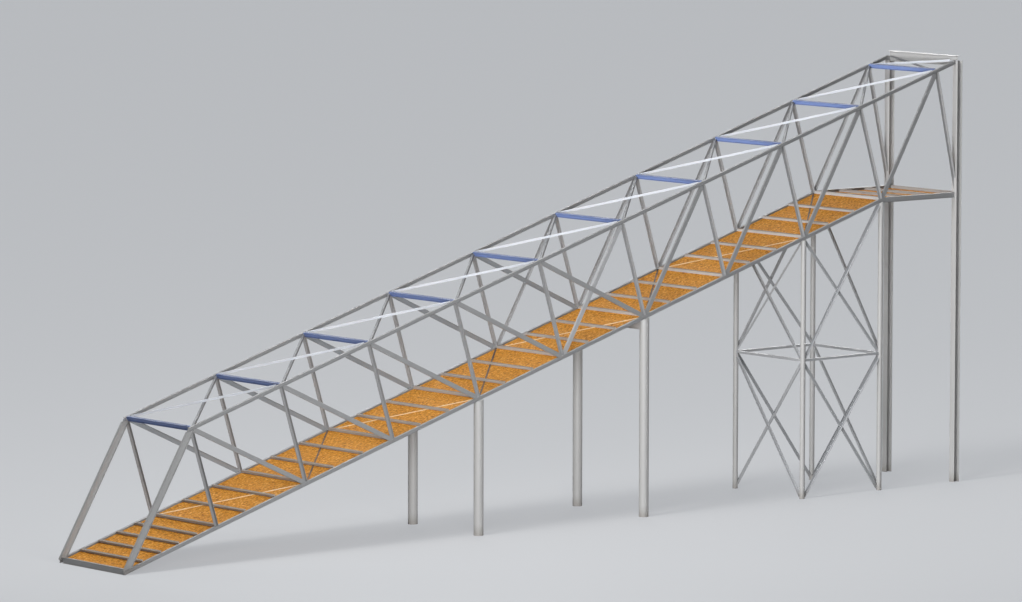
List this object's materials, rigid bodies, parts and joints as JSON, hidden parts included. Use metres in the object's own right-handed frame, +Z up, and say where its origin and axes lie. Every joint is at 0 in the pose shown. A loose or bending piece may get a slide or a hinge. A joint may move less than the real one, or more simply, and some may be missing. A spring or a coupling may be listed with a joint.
{
  "type": "inclined steel truss pipe bridge",
  "caption": "Inclined through-truss bridge with an orange floor and a level landing, on round trestles, a braced tower and a tall head portal.",
  "frame": {"origin": "middle of the underside of the tail end beam, on the ground", "axes": "+X up the bridge in plan, +Y to the left of someone walking up, +Z up"},
  "size_m": [30.2001, 3.173, 12.5088],
  "materials": {
    "frame_paint": "satin grey paint",
    "support_paint": "satin light grey paint",
    "brace_paint": "satin grey paint",
    "white_paint": "satin off-white paint",
    "blue_paint": "satin blue paint",
    "floor_coating": "speckled orange anti-slip coating"
  },
  "bodies": {
    "root": {"right_bottom_chord": "frame_paint", "left_bottom_chord": "frame_paint", "right_platform_chord": "frame_paint", "left_platform_chord": "frame_paint", "right_top_chord": "frame_paint", "left_top_chord": "frame_paint", "right_end_post": "frame_paint", "left_end_post": "frame_paint", "right_posts": "frame_paint", "left_posts": "frame_paint", "right_falling_diagonals": "frame_paint", "left_falling_diagonals": "frame_paint", "right_rising_diagonals": "frame_paint", "left_rising_diagonals": "frame_paint", "tail_end_beam": "frame_paint", "head_end_beam": "frame_paint", "floor_cross_beams": "frame_paint", "floor_joists": "frame_paint", "floor_bracing": "frame_paint", "right_lower_trestle_column": "support_paint", "left_lower_trestle_column": "support_paint", "right_upper_trestle_column": "support_paint", "left_upper_trestle_column": "support_paint", "upper_trestle_beam": "support_paint", "right_downhill_tower_leg": "support_paint", "left_downhill_tower_leg": "support_paint", "right_uphill_tower_leg": "support_paint", "left_uphill_tower_leg": "support_paint", "right_head_column": "support_paint", "left_head_column": "support_paint", "head_beam": "support_paint", "tower_ring_struts": "brace_paint", "tower_outer_braces": "brace_paint", "tower_inner_braces": "brace_paint", "top_bracing_rising": "brace_paint", "top_bracing_falling": "white_paint", "top_cross_beams": "blue_paint", "floor_panels": "floor_coating", "platform_panels": "floor_coating"}
  },
  "joints": []
}
